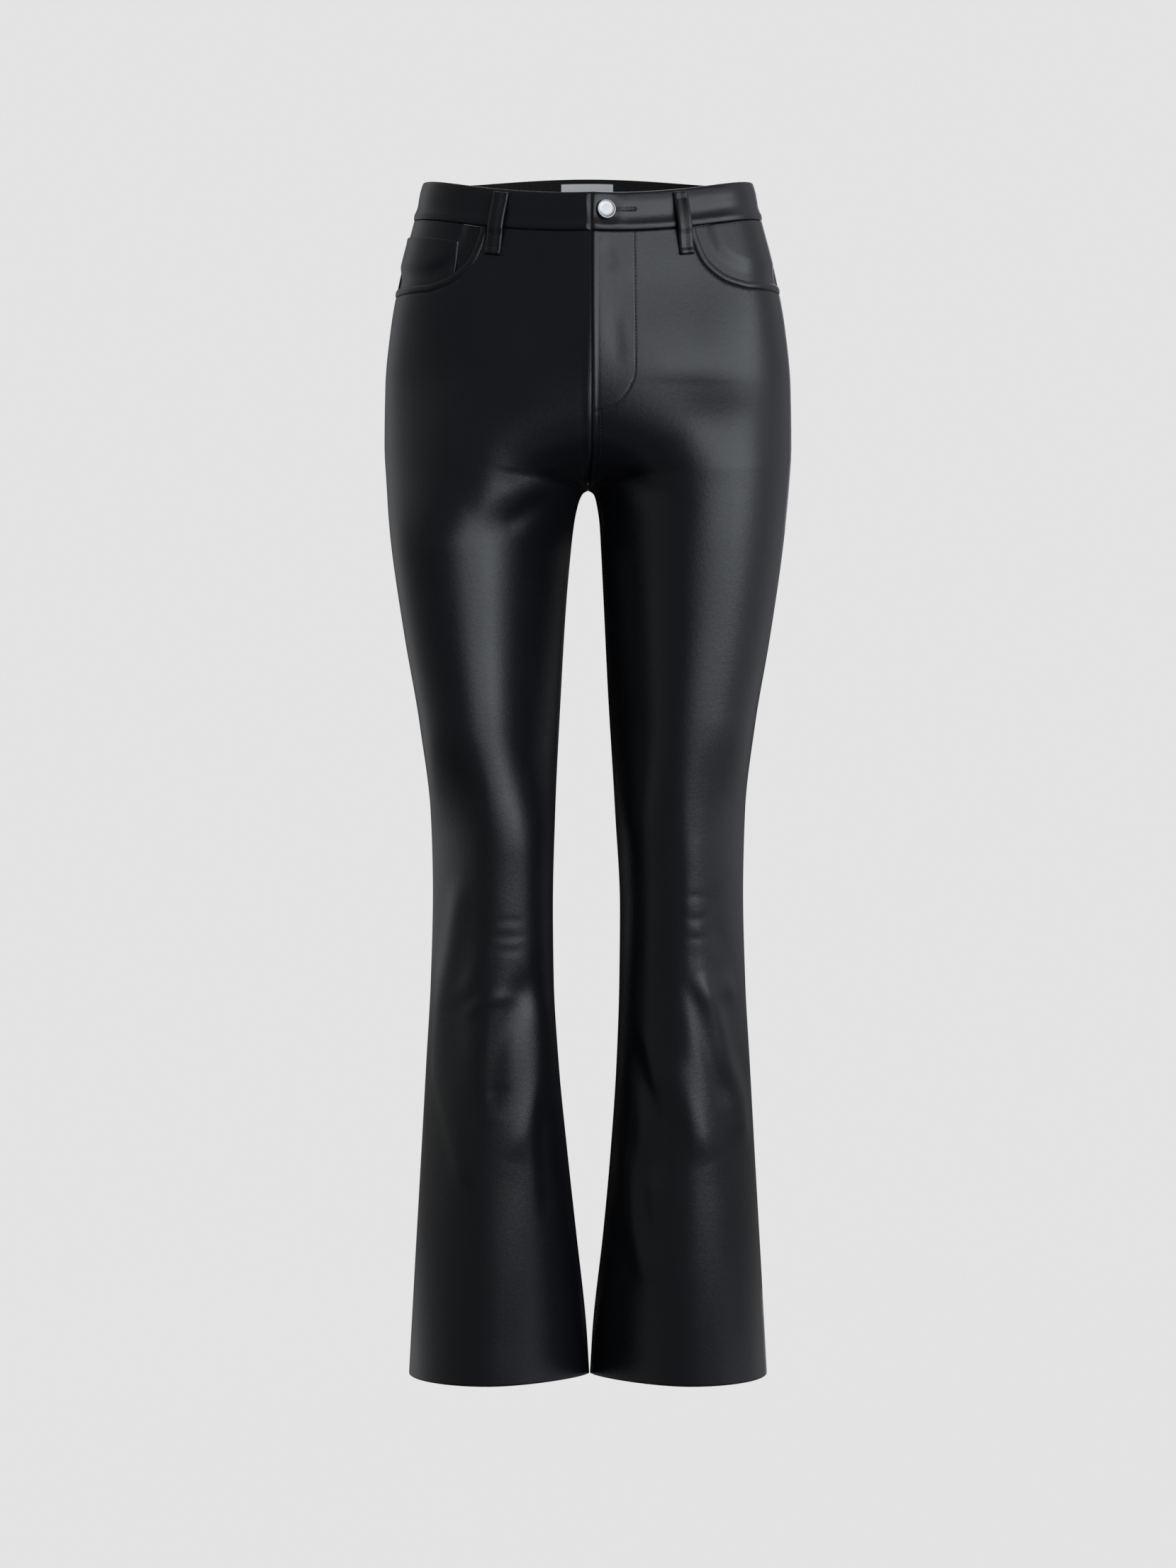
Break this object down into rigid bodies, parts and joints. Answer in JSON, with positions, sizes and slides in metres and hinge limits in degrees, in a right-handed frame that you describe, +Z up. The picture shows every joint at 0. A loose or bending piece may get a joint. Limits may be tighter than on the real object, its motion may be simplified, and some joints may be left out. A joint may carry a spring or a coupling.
{
  "type": "leather trousers",
  "caption": "Black leather trousers, fitted to the knee and flared to the hem, filled out and hollow, with a fly front, scoop pockets and a waistband.",
  "frame": {"origin": "centre of the waist opening, level with its top edge at the side seams", "axes": "+X to the wearer's left, +Y to the back, +Z up"},
  "size_m": [0.3558, 0.2103, 1.0582],
  "materials": {
    "leather": "smooth black, fine grain, soft satin gloss",
    "label": "plain woven, blank",
    "button": "brushed, blank"
  },
  "bodies": {
    "root": {"front_panel_right": "leather", "front_panel_left": "leather", "back_panel_right": "leather", "back_panel_left": "leather", "back_yoke_right": "leather", "back_yoke_left": "leather", "pocket_facing_right": "leather", "pocket_facing_left": "leather", "coin_pocket": "leather", "fly_underlay": "leather", "waistband": "leather", "belt_loop_front_right": "leather", "belt_loop_front_left": "leather", "belt_loop_back_right": "leather", "belt_loop_back_left": "leather", "belt_loop_back_middle": "leather", "button": "button", "label": "label"}
  },
  "joints": []
}
